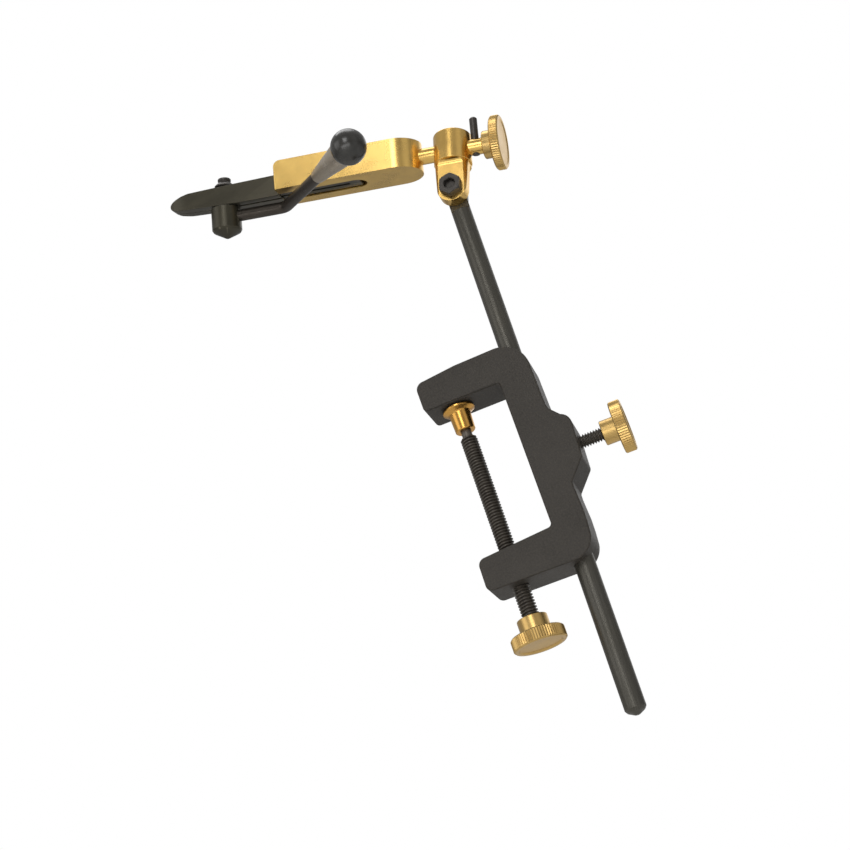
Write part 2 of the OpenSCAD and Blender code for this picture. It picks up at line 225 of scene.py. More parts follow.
def helix(bm, r, depth, pitch, z0, z1, M=I4, n=60, lead=0.6, crest=0.125, root=0.2, cham=0.8):
    """A true screw thread, cut square at z0 and z1, with a chamfer over cham at each end."""
    shape = [(0.0, r), (crest, r)]
    for k in range(1, 4):
        shape.append((crest + (1 - crest - root) / 2 * k / 4, r - depth * k / 4))
    shape += [(crest + (1 - crest - root) / 2, r - depth), (crest + (1 - crest - root) / 2 + root, r - depth)]
    for k in range(1, 4):
        shape.append((crest + (1 - crest - root) / 2 * (1 + k / 4) + root, r - depth * (1 - k / 4)))
    per = len(shape)
    turns = int((z1 - z0) / pitch) + 3
    tmp = bmesh.new()
    cols = []
    for i in range(n):
        t = 2 * math.pi * i / n
        col = []
        for j in range(turns * per + 1):
            f, rr = shape[j % per]
            z = z0 - pitch + (j // per + f + i / n) * pitch
            lim = min(z - z0, z1 - z)
            if lim < cham:
                rr = min(rr, r - depth * max(0.0, 1 - max(0.0, lim) / cham))
            col.append(tmp.verts.new((rr * math.cos(t), rr * math.sin(t), z)))
        cols.append(col)
    rows = turns * per + 1
    for i in range(n):
        nxt, shift = (cols[i + 1], 0) if i < n - 1 else (cols[0], per)
        for j in range(rows - 1):
            if j + 1 + shift < rows:
                tmp.faces.new((cols[i][j], nxt[j + shift], nxt[j + 1 + shift], cols[i][j + 1]))
    for z, s in ((z0, -1), (z1, 1)):
        geom = tmp.verts[:] + tmp.edges[:] + tmp.faces[:]
        cutline = bmesh.ops.bisect_plane(tmp, geom=geom, dist=1e-5, plane_co=(0, 0, z), plane_no=(0, 0, s), clear_outer=True)
        rim = [e for e in cutline["geom_cut"] if isinstance(e, bmesh.types.BMEdge) and e.is_boundary]
        bmesh.ops.contextual_create(tmp, geom=rim)
    add(bm, tmp, M)


def add(bm, tmp, M=I4):
    """Copies a scratch mesh into bm."""
    uv0, uv1 = tmp.loops.layers.uv.active, bm.loops.layers.uv.verify()
    tmp.verts.index_update()
    made = [bm.verts.new(M @ v.co) for v in tmp.verts]
    for f in tmp.faces:
        g = bm.faces.new([made[v.index] for v in f.verts])
        for a, b in zip(f.loops, g.loops):
            if uv0:
                b[uv1].uv = a[uv0].uv
            else:
                b[uv1].uv = (math.atan2(a.vert.co.y, a.vert.co.x) / (2 * math.pi) * 10, a.vert.co.z)
    tmp.free()


def temp(bm, name):
    me = bpy.data.meshes.new(name)
    bmesh.ops.recalc_face_normals(bm, faces=bm.faces[:])
    bm.to_mesh(me)
    bm.free()
    o = bpy.data.objects.new(name, me)
    scene.collection.objects.link(o)
    return o


def solid(base, cuts=(), joins=(), keeps=(), bevel=0.0, segs=3, angle=32, weld=4e-4):
    """Boolean work in millimetres: base, plus joins, inside keeps, less cuts, then a small bevel. Returns a bmesh."""
    body = temp(base, "work")
    tools = []
    for kind, group in (("UNION", joins), ("INTERSECT", keeps), ("DIFFERENCE", cuts)):
        for c in group:
            tool = temp(c, "tool")
            tools.append(tool)
            m = body.modifiers.new("b", "BOOLEAN")
            m.operation, m.solver, m.object = kind, "EXACT", tool
    bpy.context.view_layer.update()
    me = bpy.data.meshes.new_from_object(body.evaluated_get(bpy.context.evaluated_depsgraph_get()))
    bm = bmesh.new()
    bm.from_mesh(me)
    bmesh.ops.remove_doubles(bm, verts=bm.verts[:], dist=weld)
    bmesh.ops.dissolve_degenerate(bm, edges=bm.edges[:], dist=weld)
    flat = [e for e in bm.edges if e.is_manifold and e.calc_face_angle(9) < math.radians(0.02)]
    bmesh.ops.dissolve_edges(bm, edges=flat, use_verts=False)
    bmesh.ops.dissolve_verts(bm, verts=[v for v in bm.verts if len(v.link_edges) == 2 and v.calc_edge_angle(9) < math.radians(0.02)])
    if bevel > 0:
        me2 = bpy.data.meshes.new("bev")
        bm.to_mesh(me2)
        bm.free()
        o = bpy.data.objects.new("bev", me2)
        scene.collection.objects.link(o)
        m = o.modifiers.new("v", "BEVEL")
        m.width, m.segments, m.limit_method, m.angle_limit = bevel, segs, "ANGLE", math.radians(angle)
        m.use_clamp_overlap, m.miter_outer, m.loop_slide = True, "MITER_SHARP", True
        bpy.context.view_layer.update()
        me3 = bpy.data.meshes.new_from_object(o.evaluated_get(bpy.context.evaluated_depsgraph_get()))
        bm = bmesh.new()
        bm.from_mesh(me3)
        bpy.data.objects.remove(o)
    for o in [body] + tools:
        bpy.data.objects.remove(o)
    return bm


def bm_of(fn, *a, **k):
    bm = new_bm()
    fn(bm, *a, **k)
    return bm


def put(name, bm, body, nodes, mat, sharp=30, weighted=False, M=None):
    """Makes the piece: into the row frame, millimetres to metres, sharp edges by angle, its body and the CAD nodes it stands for."""
    if M is not None:
        bmesh.ops.transform(bm, matrix=M, verts=bm.verts[:])
    bmesh.ops.recalc_face_normals(bm, faces=bm.faces[:])
    bmesh.ops.scale(bm, vec=(MM, MM, MM), verts=bm.verts[:])
    me = bpy.data.meshes.new(name)
    bm.to_mesh(me)
    bm.free()
    me.materials.clear()
    me.materials.append(mat)
    me.polygons.foreach_set("use_smooth", [True] * len(me.polygons))
    me.polygons.foreach_set("material_index", [0] * len(me.polygons))
    me.set_sharp_from_angle(angle=math.radians(sharp))
    o = bpy.data.objects.new(name, me)
    scene.collection.objects.link(o)
    if weighted:
        m = o.modifiers.new("normals", "WEIGHTED_NORMAL")
        m.keep_sharp, m.weight = True, 60
    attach(o, body)
    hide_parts(*nodes)
    return o


# ---------------------------------------------------------------- materials
def lin(r, g, b):
    return tuple(((c / 255) / 12.92 if c / 255 <= 0.04045 else ((c / 255 + 0.055) / 1.055) ** 2.4) for c in (r, g, b)) + (1.0,)


class Mat:
    """A small wrapper round a node tree with one Principled shader."""

    def __init__(self, name):
        self.mat = bpy.data.materials.new(name)
        self.mat.use_nodes = True
        self.nt = self.mat.node_tree
        self.nt.nodes.clear()
        self.out = self.nt.nodes.new("ShaderNodeOutputMaterial")
        self.bsdf = self.nt.nodes.new("ShaderNodeBsdfPrincipled")
        self.nt.links.new(self.bsdf.outputs[0], self.out.inputs[0])
        self.tc = self.nt.nodes.new("ShaderNodeTexCoord")

    def link(self, a, b):
        self.nt.links.new(a, b)

    def coords(self, kind="Object", scale=(1, 1, 1), rot=(0, 0, 0)):
        m = self.nt.nodes.new("ShaderNodeMapping")
        m.inputs["Scale"].default_value = scale
        m.inputs["Rotation"].default_value = rot
        self.link(self.tc.outputs[kind], m.inputs["Vector"])
        return m.outputs[0]

    def noise(self, vec, scale, detail=3.0, rough=0.55, distort=0.0):
        n = self.nt.nodes.new("ShaderNodeTexNoise")
        n.inputs["Scale"].default_value = scale
        n.inputs["Detail"].default_value = detail
        n.inputs["Roughness"].default_value = rough
        n.inputs["Distortion"].default_value = distort
        self.link(vec, n.inputs["Vector"])
        return n.outputs["Fac"]

    def voronoi(self, vec, scale, feature="F1"):
        n = self.nt.nodes.new("ShaderNodeTexVoronoi")
        n.feature = feature
        n.inputs["Scale"].default_value = scale
        self.link(vec, n.inputs["Vector"])
        return n.outputs["Distance"]

    def ramp(self, fac, stops):
        n = self.nt.nodes.new("ShaderNodeValToRGB")
        cr = n.color_ramp
        while len(cr.elements) < len(stops):
            cr.elements.new(0.5)
        for e, (p, c) in zip(cr.elements, stops):
            e.position = p
            e.color = c if len(c) == 4 else (*c, 1.0)
        self.link(fac, n.inputs["Fac"])
        return n.outputs["Color"]

    def remap(self, fac, lo, hi, a=0.3, b=0.7):
        n = self.nt.nodes.new("ShaderNodeMapRange")
        n.inputs["From Min"].default_value, n.inputs["From Max"].default_value = a, b
        n.inputs["To Min"].default_value, n.inputs["To Max"].default_value = lo, hi
        self.link(fac, n.inputs["Value"])
        return n.outputs["Result"]

    def mix(self, fac, a, b, blend="MIX"):
        n = self.nt.nodes.new("ShaderNodeMix")
        n.data_type, n.blend_type = "RGBA", blend
        for sock, val in ((n.inputs[0], fac), (n.inputs[6], a), (n.inputs[7], b)):
            if isinstance(val, bpy.types.NodeSocket):
                self.link(val, sock)
            else:
                sock.default_value = val
        return n.outputs[2]

    def math(self, op, a, b=0.0):
        n = self.nt.nodes.new("ShaderNodeMath")
        n.operation = op
        for sock, val in zip(n.inputs, (a, b)):
            if isinstance(val, bpy.types.NodeSocket):
                self.link(val, sock)
            else:
                sock.default_value = val
        return n.outputs[0]

    def edge(self):
        """1 on convex edges, 0 on flats: the mask the materials use to paint highlights along edges."""
        g = self.nt.nodes.new("ShaderNodeNewGeometry")
        return self.remap(g.outputs["Pointiness"], 0.0, 1.0, 0.52, 0.6)

    def bump(self, height, strength, dist, normal=None):
        n = self.nt.nodes.new("ShaderNodeBump")
        n.inputs["Strength"].default_value = strength
        n.inputs["Distance"].default_value = dist
        self.link(height, n.inputs["Height"])
        if normal is not None:
            self.link(normal, n.inputs["Normal"])
        return n.outputs[0]

    def set(self, **kw):
        names = {"color": "Base Color", "metal": "Metallic", "rough": "Roughness", "normal": "Normal", "spec": "Specular IOR Level",
                 "coat": "Coat Weight", "coat_rough": "Coat Roughness", "ior": "IOR", "aniso": "Anisotropic", "tint": "Specular Tint"}
        for k, v in kw.items():
            sock = self.bsdf.inputs[names[k]]
            if isinstance(v, bpy.types.NodeSocket):
                self.link(v, sock)
            else:
                sock.default_value = v
        return self.mat


def cast_black():
    """Rough black paint on a casting: fine grain, soft bumps, duller spots, and a painted highlight on its convex edges
    and high spots.
    """
    m = Mat("cast_black")
    p = m.coords()
    big, fine, grit = m.noise(p, 70, 5, 0.6), m.noise(p, 1100, 3, 0.65), m.voronoi(p, 1400)
    col = m.ramp(big, [(0.3, lin(42, 38, 33)), (0.7, lin(51, 47, 42))])
    col = m.mix(m.remap(fine, 0.0, 0.75, 0.42, 0.7), col, lin(66, 61, 54))
    # painted highlight: convex edges lightened towards grey
    col = m.mix(m.math("MULTIPLY", m.edge(), 0.5), col, lin(80, 75, 68))
    n = m.bump(big, 0.25, 0.0006)
    n = m.bump(fine, 0.55, 0.00018, n)
    n = m.bump(grit, 0.25, 0.0001, n)
    return m.set(color=col, metal=0.0, rough=m.remap(fine, 0.46, 0.64), spec=0.3, normal=n)


def black_rod():
    """Blackened rod: drawn streaks along its length."""
    m = Mat("black_rod")
    u = m.coords("UV", (1.2, 0.012, 1))
    streak = m.noise(u, 5, 3, 0.55)
    p = m.coords()
    mottle, fine = m.noise(p, 60, 4, 0.55), m.noise(p, 1500, 2)
    col = m.ramp(streak, [(0.3, lin(68, 66, 60)), (0.7, lin(84, 81, 75))])
    col = m.mix(m.remap(mottle, 0, 0.3), col, lin(72, 69, 56))
    n = m.bump(streak, 0.01, 0.00003)
    n = m.bump(fine, 0.006, 0.00002, n)
    return m.set(color=col, metal=0.6, rough=m.remap(mottle, 0.37, 0.43), normal=n)


def black_steel(name="black_steel", base=(53, 49, 45), rough=(0.3, 0.44)):
    m = Mat(name)
    p = m.coords()
    a, b = m.noise(p, 200, 4), m.noise(p, 1600, 2)
    col = m.ramp(a, [(0.3, lin(*base)), (0.7, lin(*[c + 14 for c in base]))])
    # painted highlight: convex edges lightened towards grey
    col = m.mix(m.math("MULTIPLY", m.edge(), 0.4), col, lin(92, 87, 82))
    return m.set(color=col, metal=0.5, rough=m.remap(a, *rough), normal=m.bump(b, 0.08, 0.00005))


def jaw_steel():
    """Dark oiled tool steel with grinding lines along the bar."""
    m = Mat("jaw_steel")
    p = m.coords("Object", (0.35, 1, 1))
    a, b = m.noise(p, 90, 5, 0.6), m.noise(m.coords("Object", (0.08, 1, 1)), 1500, 2)
    col = m.ramp(a, [(0.25, lin(52, 49, 39)), (0.75, lin(66, 62, 49))])
    # painted highlight: convex edges lightened towards a pale olive grey
    col = m.mix(m.math("MULTIPLY", m.edge(), 0.6), col, lin(120, 114, 98))
    return m.set(color=col, metal=0.6, rough=m.remap(a, 0.3, 0.42), normal=m.bump(b, 0.12, 0.00005))


def thread_steel():
    m = Mat("thread_steel")
    p = m.coords()
    a = m.noise(p, 400, 4)
    col = m.ramp(a, [(0.3, lin(56, 51, 46)), (0.7, lin(80, 74, 66))])
    # painted highlight: thread crests and convex edges lightened towards grey
    col = m.mix(m.math("MULTIPLY", m.edge(), 0.7), col, lin(104, 97, 88))
    return m.set(color=col, metal=0.45, rough=m.remap(a, 0.32, 0.46), normal=m.bump(a, 0.12, 0.00004))


def gunmetal():
    """Satin grey sleeve with draw marks along it and a warm cast."""
    m = Mat("gunmetal")
    u = m.coords("UV", (1.0, 0.03, 1))
    streak = m.noise(u, 9, 4, 0.6)
    p = m.coords()
    a = m.noise(p, 160, 4)
    col = m.ramp(streak, [(0.3, lin(172, 161, 146)), (0.7, lin(206, 193, 176))])
    col = m.mix(m.remap(a, 0, 0.35), col, lin(162, 147, 122))
    return m.set(color=col, metal=0.95, rough=m.remap(a, 0.26, 0.36), normal=m.bump(streak, 0.05, 0.00004))


def lever_steel():
    """Bare bent rod, oil dark, with drawn lines."""
    m = Mat("lever_steel")
    u = m.coords("UV", (1.0, 0.03, 1))
    streak = m.noise(u, 9, 4, 0.6)
    p = m.coords()
    a = m.noise(p, 180, 4)
    col = m.ramp(streak, [(0.3, lin(54, 49, 44)), (0.7, lin(76, 70, 64))])
    col = m.mix(m.remap(a, 0, 0.4), col, lin(60, 53, 45))
    return m.set(color=col, metal=0.75, rough=m.remap(a, 0.26, 0.38), normal=m.bump(streak, 0.06, 0.00004))


def ball_black():
    """Moulded black plastic, satin gloss, with a faint rippled skin."""
    m = Mat("ball_black")
    p = m.coords()
    a, b = m.noise(p, 250, 4), m.noise(p, 90, 2)
    col = m.ramp(a, [(0.3, lin(38, 37, 34)), (0.7, lin(50, 48, 45))])
    n = m.bump(b, 0.05, 0.0004)
    n = m.bump(a, 0.03, 0.00006, n)
    return m.set(color=col, metal=0.0, rough=m.remap(a, 0.19, 0.27), spec=0.5, normal=n)


def brass(name, tone, rough, streaks=6.0, along=True, bump=0.06):
    """Brass with fine tool marks that follow the piece's own UV directions."""
    m = Mat(name)
    u = m.coords("UV", (0.6, 0.02, 1) if along else (0.02, 1.0, 1))
    mark = m.noise(u, streaks, 5, 0.65)
    p = m.coords()
    cloud, fine = m.noise(p, 110, 4, 0.6), m.noise(p, 1400, 2)
    col = m.ramp(cloud, [(0.3, lin(*[int(c * 0.93) for c in tone])), (0.7, lin(*tone))])
    col = m.mix(m.remap(mark, 0.0, 0.35), col, lin(tone[0], int(tone[1] * 0.9), int(tone[2] * 0.78)))
    n = m.bump(mark, bump, 0.00005)
    n = m.bump(fine, 0.012, 0.00003, n)
    return m.set(color=col, metal=1.0, rough=m.remap(cloud, *rough), normal=n)


def nylon():
    m = Mat("nylon")
    a = m.noise(m.coords(), 300, 3)
    return m.set(color=m.ramp(a, [(0.3, lin(214, 210, 198)), (0.7, lin(228, 225, 214))]), rough=m.remap(a, 0.4, 0.55), normal=m.bump(a, 0.05, 0.00004))


CAST, ROD, STEEL, JAW, THREAD, GUN, LEVER, BALL, NYLON = cast_black(), black_rod(), black_steel(), jaw_steel(), thread_steel(), gunmetal(), lever_steel(), ball_black(), nylon()
YOKE_BRASS = brass("yoke_brass", (238, 202, 120), (0.25, 0.33), along=False, bump=0.02)
BRASS = brass("turned_brass", (230, 192, 112), (0.2, 0.3), along=False, bump=0.035)
KNOB_BRASS = brass("knob_brass", (204, 173, 110), (0.28, 0.38), along=False, bump=0.03)
# painted shade: a darker, browner copy of the brass for the pad tucked under the clamp arm
SHADED_PAD_BRASS = brass("pad_brass_painted_shade", (212, 163, 84), (0.2, 0.3), along=False, bump=0.06)


# ---------------------------------------------------------------- clamp frame
LEAN = R(-1.15, "Y")     # the clamp screw's own axis


def c_outline(face=0.0):
    so, ld = 39.5, -37.6
    return (arc((21.6, face - 1.6), 1.6, 90, 0, 8) + arc((22.5, -70.6), 2, 0, -88, 8) + arc((-7.9, -78.6), 3.5, 90, 180, 10)
            + arc((-8.1, -87.3), 3.2, 180, 268, 12) + arc((so - 10.5, -80.1), 10.5, 270, 355, 24)
            + rounded([(so + 0.0, -79.0), (so + 0.3, -75.6, 6), (so + 0.4, -69.6, 8), (so - 0.2, ld - 22, 4), (so - 0.1, ld - 19.2, 1.5), (so + 3.4, ld - 14.9)], n=6)[1:-1]
            + arc((so + 5.2, ld - 8.8), 2.6, -46, 6, 8)
            + rounded([(so + 7.8, ld - 6), (so + 8.2, ld + 1, 8), (so + 8.5, ld + 5.2)], n=5)[1:]
            + arc((so + 3, ld + 7.4), 5.4, 5, 70, 12)
            + rounded([(so + 4.4, ld + 12.6), (so + 0.6, ld + 17.3, 3), (so + 0.1, ld + 19.6)], n=5)[1:]
            + arc((so - 14.2, 3.2), 13.7, 0, 90, 24) + [(5.7, 16.5)]
            + arc((-10.3, 10.9), 4, 86, 180, 12) + arc((-11.8, face + 2.2), 2.2, 180, 270, 10))


XZ = R(90, "X")     # local X, Y, Z to X, Z, -Y
base = bm_of(prism, c_outline(), -12, 10, XZ, 0.8, 4)
lip = bm_of(prism, rounded([(-12, -1), (-8.7, -1), (-8.7, 0.0, 0.3), (-9.3, 0.45, 0.4), (-12, 0.45)], n=4), -20, 21.5, Matrix(((0, 0, 1, 0), (1, 0, 0, 0), (0, 1, 0, 0), (0, 0, 0, 1))))
cuts = [bm_of(rod, 4.81, -95, 35, T(31.7, 0, 0), 96), bm_of(rod, 4.03, -95, -68, LEAN, 72), bm_of(rod, 3.18, 0, 30, T(31.7, 0, -37.6) @ ALONG_X, 64), lip]
bm = solid(base, cuts, bevel=0.0)
put("vise_clamp_frame", bm, "clamp", ["clamp_frame"], CAST, 28, True)

# ---------------------------------------------------------------- stem
prof = rounded([(0, -159.3), (1.1, -159.1, 0.6), (3.85, -157.6, 1.2), (4.75, -156.3, 0.8), (4.75, 112.55), (0, 112.55)], n=4)
base = bm_of(lathe, prof, T(31.7, 0, 0), 128)
side = [(-6, -162), (6, -162), (6, 107.8)] + arc((0, 107.8), 4.75, 0, 180, 40) + [(-6, 107.8)]
keep = bm_of(prism, side, -8, 8, T(31.7, 0, 0) @ XZ)
cut1 = bm_of(prism, rounded([(-8, 95.7), (-3.2, 95.7), (0.15, 97.1, 2.0), (0.15, 120), (-8, 120)], n=6), -8, 8, T(31.7, 0, 0) @ Matrix(((0, 0, 1, 0), (1, 0, 0, 0), (0, 1, 0, 0), (0, 0, 0, 1))))
cut2 = bm_of(block, (-8, 4.1, 99.2), (8, 8, 120), T(31.7, 0, 0))
cut3 = bm_of(rod, 3.06, -10, 10, T(31.7, 0, 107.8) @ ALONG_Y, 64)
bm = solid(base, [cut1, cut2, cut3], keeps=[keep], bevel=0.25, segs=2)
put("vise_stem", bm, "stem_group", ["stem"], ROD, 30, True)

# ---------------------------------------------------------------- knuckle
YZ = Matrix(((0, 0, 1, 0), (1, 0, 0, 0), (0, 1, 0, 0), (0, 0, 0, 1)))     # local X, Y, Z to Y, Z, X
prof = rounded([(0, -8.1), (9.45, -8.1, 0.3), (9.45, 8, 0.7), (0, 8)], n=4)
base = bm_of(lathe, prof, I4, 144)
cheek_line = [(-8.5, -5), (-8.5, -9), (-7.4, -23.2)] + arc((0, -23.2), 7.4, 180, 360, 48)[1:] + [(8.5, -9), (8.5, -5)]
cheek = solid(bm_of(prism, cheek_line, -9.5, 9.5, XZ), keeps=[bm_of(rod, 9.045, -32, -4, I4, 144)])
cuts = [
    bm_of(prism, rounded([(-13, -40), (-6.4, -40), (-6.4, -8.17, 2.5), (-13, -8.17)], n=8), -13, 13, YZ),
    bm_of(prism, rounded([(-0.15, -40), (14, -40), (14, -9.53), (-0.15, -9.53, 2.2)], n=8), -13, 13, YZ),
    bm_of(rod, 4.05, -14, 14, ALONG_X, 72),
    bm_of(rod, 3.02, -14, 14, T(0, 0, -23.2) @ ALONG_Y, 64),
    bm_of(rod, 2.52, 0, 12, ALONG_Y, 48),
]
bm = solid(base, cuts, joins=[bm_of(add, cheek)], bevel=0.35, segs=3)
put("vise_knuckle", bm, "knuckle_group", ["knuckle"], BRASS, 30, True, K)


# ---------------------------------------------------------------- tilt bolt and nut
def hex_head(r, lo, hi, M, cham=0.45):
    """A hexagon across corners 2r, its corners cut back by a cone at both ends, as turned."""
    hexa = [(r * math.cos(math.radians(60 * k + 30)), r * math.sin(math.radians(60 * k + 30))) for k in range(6)]
    flat = r * math.cos(math.radians(30))
    cone = bm_of(lathe, [(0, lo), (flat + 0.1, lo), (r + 0.1, lo + cham), (r + 0.1, hi - cham), (flat + 0.1, hi), (0, hi)], M, 96)
    return bm_of(prism, rounded([(x, y, 0.35) for x, y in hexa], True, 3), lo, hi, M), cone


BOLT = PIV @ R(3.4, "Y") @ ALONG_Y
hexa, cone = hex_head(5.77, -10.4, -6.4, I4)
sock = bm_of(prism, [(2.9 * math.cos(math.radians(60 * k + 30)), 2.9 * math.sin(math.radians(60 * k + 30))) for k in range(6)], -12, -7.8)
mouth = bm_of(lathe, [(0, -11), (3.6, -11), (2.5, -9.9), (0, -9.9)], I4, 48)
bm = solid(hexa, [sock, mouth], keeps=[cone], bevel=0.2, segs=2)
shank = new_bm()
lathe(shank, [(0, -7.7), (3, -7.7), (3, 7.0), (2.7, 7.2), (0, 7.2)], I4, 64)
helix(shank, 3.0, 0.5, 1.0, 6.9, 8.3, I4, 48, cham=0.6)
add(bm, shank)
put("vise_tilt_bolt", bm, "knuckle_group", ["pivot_bolt"], STEEL, 30, True, BOLT)

NUT = PIV @ ALONG_Y
hexa, cone = hex_head(5.77, 4.4, 7.4, I4)
bm = solid(hexa, [bm_of(rod, 3.02, 3, 9, I4, 64)], keeps=[cone], bevel=0.15, segs=2)
put("vise_tilt_nut", bm, "knuckle_group", ["pivot_nut"], STEEL, 30, True, NUT)

# ---------------------------------------------------------------- tension screw and plug
TEN = K @ ALONG_Y
base = new_bm()
helix(base, 2.5, 0.42, 0.8, 5.4, 8.9, TEN, 48, cham=0.45)
bm = solid(base, [bm_of(prism, [(1.45 * math.cos(math.radians(60 * k)), 1.45 * math.sin(math.radians(60 * k))) for k in range(6)], 6.6, 12, TEN)])
put("vise_tension_screw", bm, "knuckle_group", ["tension_screw"], STEEL, 35)
bm = bm_of(lathe, rounded([(0, 3.7), (2.3, 3.7, 0.15), (2.3, 5.3, 0.15), (0, 5.3)], n=3), TEN, 48)
put("vise_tension_plug", bm, "knuckle_group", ["tension_plug"], NYLON, 35)

# ---------------------------------------------------------------- rotary shaft and peg
HX = H @ ALONG_X
prof = rounded([(0, -29), (4, -29, 0.4), (4, -2.6, 0.08), (3.4, -2.6, 0.1), (3.4, 2.6, 0.1), (4, 2.6, 0.08), (4, 23, 0.5), (0, 23)], n=3)
bm = solid(bm_of(lathe, prof, ALONG_X, 96), [bm_of(rod, 1.97, -8, 8, T(11.75, 0, 0), 48)], bevel=0.12, segs=2)
put("vise_rotary_shaft", bm, "rotary_head", ["rotary_shaft"], BRASS, 30, True, H)
bm = bm_of(lathe, rounded([(0, -4.2), (1.95, -4.2, 0.3), (1.95, 14.6, 0.4), (1.2, 15.3, 0.35), (0, 15.3)], n=4), H @ T(11.75, 0, 0), 56)
put("vise_turning_peg", bm, "rotary_head", ["turning_peg"], STEEL, 40)

# ---------------------------------------------------------------- yoke
plan = arc((-89.4, -11.5), 1.2, 180, 270, 6) + [(-28.7, -12.7)] + arc((-28.7, 0), 12.7, -90, 90, 64)[1:-1] + [(-28.7, 12.7)] + arc((-89.4, 11.5), 1.2, 90, 180, 6) + [(-90.6, 5.4), (-50.9, 5.4)] \
    + arc((-50.9, 0), 5.4, 90, -90, 32)[1:-1] + [(-50.9, -5.4), (-90.6, -5.4)]
base = bm_of(prism, plan, -7.5, 7.5)
side = [(-90.61, -9), (0, -9), (0, 9), (-86.6, 9)] + arc((-86.6, 3.5), 4.01, 90, 180, 16)
keep = bm_of(prism, side, -14, 14, XZ)
cuts = [bm_of(rod, 4.02, -29.2, -10, ALONG_X, 72)] + [bm_of(rod, 1.52, -9, 21, T(x, 0, -1.7) @ ALONG_Y, 40) for x in (-56, -80)]
bm = solid(base, cuts, keeps=[keep], bevel=0.4, segs=3)
put("vise_yoke", bm, "rotary_head", ["yoke"], YOKE_BRASS, 30, True, H)

bm = new_bm()
for x in (-56, -80):
    lathe(bm, rounded([(0, -8.9), (1.5, -8.9, 0.2), (1.5, 12.68, 0.2), (0, 12.68)], n=3), H @ T(x, 0, -1.7) @ ALONG_Y, 40)
put("vise_jaw_pins", bm, "rotary_head", ["jaw_pins"], BRASS, 35)


# ---------------------------------------------------------------- knurled knobs
def knurl(rmax, teeth, depth):
    def rim(t):
        x = (t * teeth / (2 * math.pi)) % 1.0
        return rmax - depth * (abs(x - 0.5) * 2) ** 1.0
    return rim


def knob(bm, prof, rmax, teeth, M, depth=0.32):
    lathe(bm, prof, M, teeth * 6, knurl(rmax, teeth, depth))


KH = HX
prof = rounded([(4.05, 23.2), (4.05, 16, 0.2), (6.9, 16, 0.6), (6.9, 21.1, 0.35), (12.7, 21.1, 0.2), (13.4, 21.8, 0.4), (13.4, 25.1, 0.4),
                (12.7, 25.8, 0.3), (11.4, 25.8, 0.2), (10.8, 25.4, 0.2), (0, 25.4)], n=4)
prof = [(0, 23.2)] + prof
bm = bm_of(knob, prof, 13.4, 72, KH)
put("vise_rear_knob", bm, "rotary_head", ["rear_knob"], KNOB_BRASS, 24)

CK = LEAN @ T(0, 0, -105.8)
prof = rounded([(0, -8.6), (3.98, -8.6), (3.98, 0.6, 0.2), (6.9, 0.6, 0.4), (6.9, -6.4, 0.4), (11.6, -6.4, 0.1), (12.2, -7, 0.25), (12.2, -11.6, 0.25),
                (11.5, -12.3, 0.2), (10.1, -12.3, 0.2), (9.4, -11.6, 0.25), (0, -11.4)], n=3)
bm = bm_of(knob, prof, 12.2, 66, CK)
put("vise_clamp_knob", bm, "clamp_screw_group", ["clamp_knob"], KNOB_BRASS, 24)

LK = T(58.4, 0, -37.6) @ ALONG_X
prof = rounded([(0, 8.6), (3.12, 8.6), (3.12, 0, 0.2), (5.7, 0, 0.5), (5.7, 6.6, 0.35), (11.5, 6.6, 0.1), (12, 7.1, 0.25), (12, 11.5, 0.25),
                (11.3, 12.1, 0.2), (10, 12.1, 0.2), (9.4, 11.6, 0.2), (0, 11.5)], n=3)
bm = bm_of(knob, prof, 12.0, 64, LK)
put("vise_lock_knob", bm, "lock_screw_group", ["lock_knob"], KNOB_BRASS, 24)


# ---------------------------------------------------------------- jaws
def lerp(pairs, x):
    for (a, u), (b, v) in zip(pairs, pairs[1:]):
        if (x - a) * (x - b) <= 0:
            return u + (v - u) * (x - a) / (b - a)
    return pairs[-1][1]


SH = -91.2     # the jaws' shoulder, just in front of the yoke
LOW = [(SH, -7.8), (-112, -7.85), (-134, -7.15), (-143.5, -6.75), (-148.9, -6.0), (-151, -5.0), (-152.2, -3.7), (-152.6, -2.6)]
HIGH = [(SH, 3.13), (-94.5, 3.05), (-116, 2.65), (-134, 2.15), (-141, 1.9), (-145.2, 1.1), (-148.4, 0.1), (-150.9, -0.9), (-152.4, -1.9), (-152.6, -2.4)]


def jaw_station(x):
    """Half width, bottom and top of the jaws at x."""
    w = 5.5 if x >= -140 else 0.9 + 4.6 * math.cos(math.asin(min(1.0, (-140 - x) / 12.8)))
    return w, lerp(LOW, x), lerp(HIGH, x)


def jaw_bm(s):
    bm = new_bm()
    xs = [SH, SH - 0.1, SH - 0.3, -94.5, -100, -106, -112, -116, -120, -125, -130, -134.0, -137, -140, -141, -142.5, -143.9, -145.2, -146.5, -147.6, -148.6, -149.5, -150.3, -150.9,
          -151.4, -151.8, -152.1, -152.35, -152.5, -152.59]
    rings = []
    for j, x in enumerate(xs):
        w, zb, zt = jaw_station(x)
        e = 0.25 if j == 0 else (0.08 if j == 1 else 0)
        r = min(0.28, (w - 0.2) * 0.45, (zt - zb) * 0.45)
        sec = rounded([(0.2, zb + e, 0.1), (w - e, zb + e, r), (w - e, zt - e, r), (0.2, zt - e, 0.1)], True, 4)
        rings.append([Vector((x, s * p[0], p[1])) for p in sec])
    skin(bm, rings, ([k * 0.5 for k in range(len(rings[0]) + 1)], xs))
    return bm


